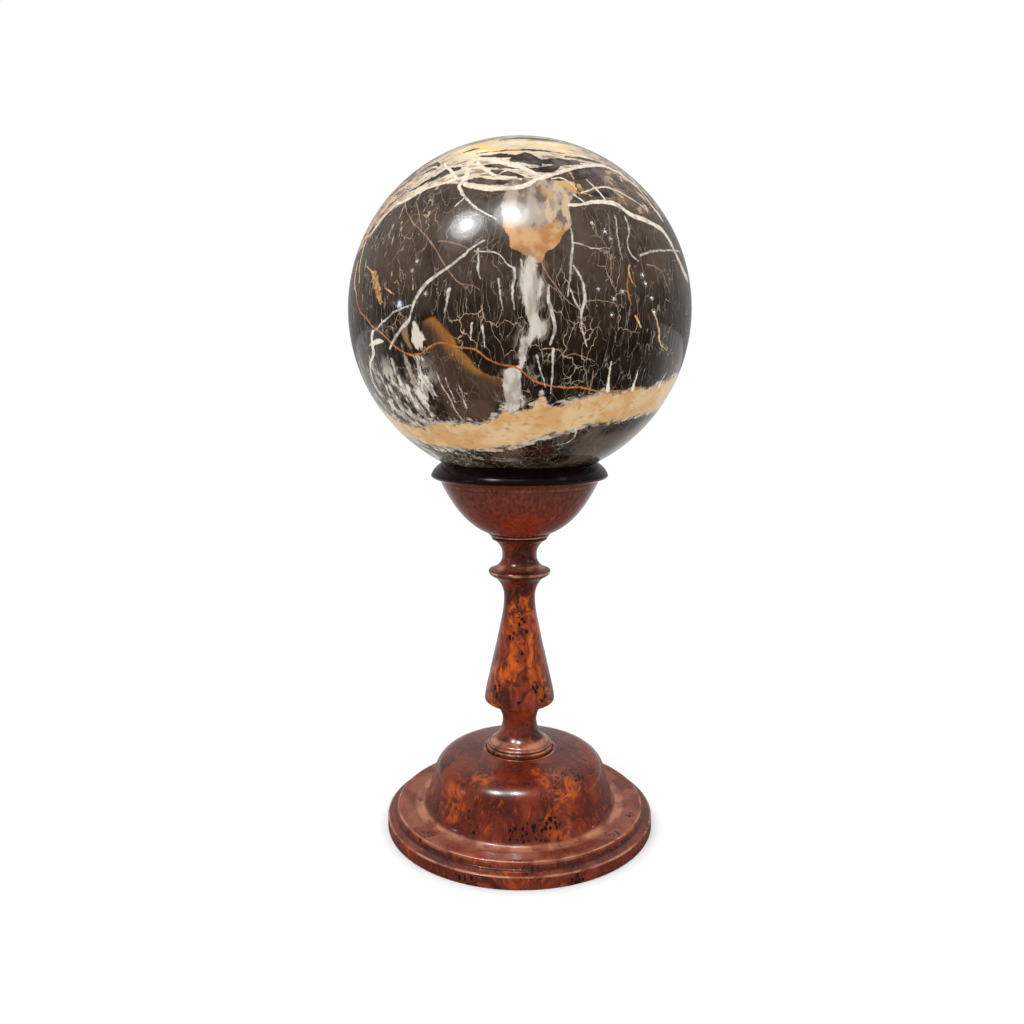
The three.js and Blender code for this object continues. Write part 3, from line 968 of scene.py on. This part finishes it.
def stem_wood():
    return Burl("burl_stem", (-20, 60, 0)).build(
        gold_and_highlight_spots=[(-60, 104, 24, 12), (10, 128, 18, 12), (45, 100, 24, 10), (5, 155, 12, 12),
                    (-50, 92, 25, 7), (20, 142, 14, 8), (-22, 114, 20, 13),
                    # The two spots low on the foot, at heights 60 and 61, are a painted highlight.
                    (24, 112, 22, 9), (-12, 148, 14, 8), (-18, 60, 19, 6), (22, 61, 19, 6),
                    (150, 120, 20, 14)],
        eye_spots=[(-4, 163, 12, 3.5), (6, 156, 12.5, 3), (2, 149, 13, 3.6), (-14, 143, 15, 3.6),
                   (-28, 137, 16, 3), (-34, 146, 14, 3), (10, 141, 15, 3), (4, 133, 17, 2.4),
                   (2, 124, 19, 4.4), (-40, 103, 23, 5), (-46, 98, 24, 4), (32, 103, 23, 5),
                   (42, 98, 24, 5), (36, 93, 25, 4), (0, 92, 25.5, 2.2), (0, 70, 12.5, 4),
                   (0, 176, 15, 4), (8, 197, 13, 3), (50, 160, 12, 4), (-160, 110, 22, 8)],
        # The pale edge rings are partly scuffed lacquer and partly painted highlight.
        wear_and_highlight_rings=[(23.3, 56.7, 1), (24.2, 54.8, 1), (20.5, 59.6, 4), (23.2, 183.5, 1.3), (17.5, 188, 3.6),
              (22.3, 210.6, 0.8)],
        # The dark groove rings are painted shade.
        groove_shade=[(23, 55.5, 1.2), (21.5, 57.6, 0.8), (19.9, 209.2, 1.4)])


def cup_wood():
    return LippedBurl("burl_cup", (15, -25, 30), 16).build(
        gold_and_highlight_spots=[(160, 235, 50, 12)],
        eye_spots=[(10, 213, 22, 2), (-120, 230, 48, 8)],
        # The pale edge rings are partly scuffed lacquer and partly painted highlight.
        wear_and_highlight_rings=[(57.6, 248.7, 1.2)],
        # The dark groove rings are painted shade.
        groove_shade=[(57.2, 247.7, 1.4), (58.9, 251.6, 1.4), (24, 212.2, 1.4)], red=0.6)


# ---------------------------------------------------------------- the stage

# The floor's own light, for the camera only, so that the floor meets the white background.
FLOOR_LIFT = 0.06
FLOOR_REACH = 6
# The lamps' distances from the ball are in metres; the discs of a glow stand before its lamp.
KEY_DISTANCE = 1.4
FAR_DISTANCE = 1.5
GLOW_DISCS = 7
GLOW_SPACING = 0.01
CAMERA_PLACE = (-0.0056, -0.6425, 0.3173)
# Where the camera sees each lamp mirrored in the ball: (longitude, latitude).
KEY_LAMPS = {"left": (-16.5, 20), "right": (-3, 23)}
BLUE_WINDOW = (-37.5, -2)
FAR_LAMPS = [(22, 21), (26, 18.5), (27.5, 16.5), (38, 6.5), (39, 4), (22, 1.5), (30, 1),
             (27, -1), (41.5, 0), (26.5, -5.5), (43, -4), (-31.5, 10), (-33, 7.5), (-28, 0.5)]


def build_floor():
    """A wide plain floor that meets the white background, with painted shade in what the ball and wood
    mirror of it: darker to glossy rays, most in front.
    """
    corners = [(x * FLOOR_REACH, y * FLOOR_REACH, 0) for x, y in ((-1, -1), (1, -1), (1, 1), (-1, 1))]
    mesh = bpy.data.meshes.new("floor")
    mesh.from_pydata(corners, [], [(0, 1, 2, 3)])
    floor = bpy.data.objects.new("floor", mesh)
    bpy.context.scene.collection.objects.link(floor)
    net = Paint("plain_floor")
    paths = net.tree.nodes.new("ShaderNodeLightPath").outputs
    place = net.tree.nodes.new("ShaderNodeNewGeometry").outputs["Position"]
    # Painted shade: glossy rays see the floor darker, most in front.
    behind = net.step(net.split(place)[1], -0.2, 0.9)
    dimmed = net.mix(behind, srgb(84, 80, 78), srgb(210, 208, 206))
    net.put("Base Color", net.mix(paths["Is Glossy Ray"], srgb(246, 246, 246), dimmed))
    net.put("Roughness", 0.9)
    net.put("Specular IOR Level", 0.1)
    net.put("Emission Color", (1, 1, 1, 1))
    net.put("Emission Strength", net.times(paths["Is Camera Ray"], FLOOR_LIFT))
    mesh.materials.append(net.material)


def light_world():
    """White to the camera; brighter overhead to the rest, and dim in front in the mirrored room."""
    world = bpy.data.worlds.new("studio")
    bpy.context.scene.world = world
    world.use_nodes = True
    net = Net(world.node_tree)
    net.tree.nodes.clear()
    paths = net.tree.nodes.new("ShaderNodeLightPath").outputs
    direction = net.tree.nodes.new("ShaderNodeTexCoord").outputs["Generated"]
    _, behind, rise = net.split(direction)
    room = net.step(rise, -0.1, 0.9, 0.82, 1.2)
    mirrored = net.plus(net.step(behind, -0.1, 0.8, 0.10, 0.33),
                        net.step(rise, 0.3, 1.0, 0.0, 0.2))
    glossy = paths["Is Glossy Ray"]
    room = net.plus(net.times(room, net.minus(1.0, glossy)), net.times(mirrored, glossy))
    strength = net.most(room, paths["Is Camera Ray"])
    background = net.add("ShaderNodeBackground", {"Color": (1, 1, 1, 1), "Strength": strength})
    net.add("ShaderNodeOutputWorld", {"Surface": background.outputs[0]})


def add_lamp(name, seen_at, distance, size, power, only_gloss=False):
    """A soft round lamp that the camera sees mirrored at a longitude and latitude of the ball."""
    light = bpy.data.lights.new(name, "AREA")
    light.shape = "DISK"
    light.size = size
    light.energy = power
    lamp = bpy.data.objects.new(name, light)
    bpy.context.scene.collection.objects.link(lamp)
    lon, lat = (math.radians(angle) for angle in seen_at)
    outward = Vector((math.sin(lon) * math.cos(lat), -math.cos(lon) * math.cos(lat), math.sin(lat)))
    spot = Vector((0, 0, SPHERE_CENTRE_Z * MM)) + outward * SPHERE_RADIUS * MM
    toward = (spot - Vector(CAMERA_PLACE)).normalized().reflect(outward)
    lamp.location = spot + toward * distance
    lamp.rotation_euler = toward.to_track_quat("Z", "Y").to_euler()
    lamp.visible_diffuse = not only_gloss
    return light


def light_object():
    """Two lamps over the front, each in a wide glow, a bluish window and small far lamps."""
    for name, seen_at in KEY_LAMPS.items():
        add_lamp("lamp_" + name, seen_at, KEY_DISTANCE, 0.08, 5, True)
        add_lamp("fill_" + name, seen_at, KEY_DISTANCE + 0.02, 0.5, 3)
        for disc in range(GLOW_DISCS):
            add_lamp(f"glow_{name}_{disc}", seen_at, KEY_DISTANCE - GLOW_SPACING * (disc + 1),
                     0.11 * 1.4 ** disc, 0.2 * (disc + 1), True)
    window = add_lamp("window", BLUE_WINDOW, FAR_DISTANCE, 0.09, 0.5, True)
    window.color = (0.55, 0.68, 1.0)
    for number, seen_at in enumerate(FAR_LAMPS):
        add_lamp(f"far_lamp_{number}", seen_at, FAR_DISTANCE, 0.032, 0.1, True)


def add_camera():
    """A camera at about the height of the ball's lower half, a little left of the axis."""
    camera = bpy.data.cameras.new("camera")
    camera.sensor_width = 36
    camera.lens = 30.44
    camera.shift_y = -0.109
    camera.clip_start = 0.01
    view = bpy.data.objects.new("camera", camera)
    bpy.context.scene.collection.objects.link(view)
    view.location = CAMERA_PLACE
    view.rotation_euler = (math.radians(90 - 0.65), 0, 0)
    bpy.context.scene.camera = view


# ---------------------------------------------------------------- the object

PIECES = [
    (ball_piece, "marble_sphere", "marble", lambda: Marble().build()),
    (cup_piece, "cup", "burl_wood", cup_wood),
    (stem_piece, "stem", "burl_wood", stem_wood),
    (base_piece, "base", "burl_wood", base_wood),
]

for make_piece, node, slot, make_material in PIECES:
    piece = make_piece()
    piece.data.materials.append(make_material())
    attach(piece, "root")
    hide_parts(node)

build_floor()
light_world()
light_object()
add_camera()
bpy.context.scene.view_settings.view_transform = "Standard"
bpy.context.scene.cycles.max_bounces = 5
bpy.context.scene.cycles.diffuse_bounces = 2
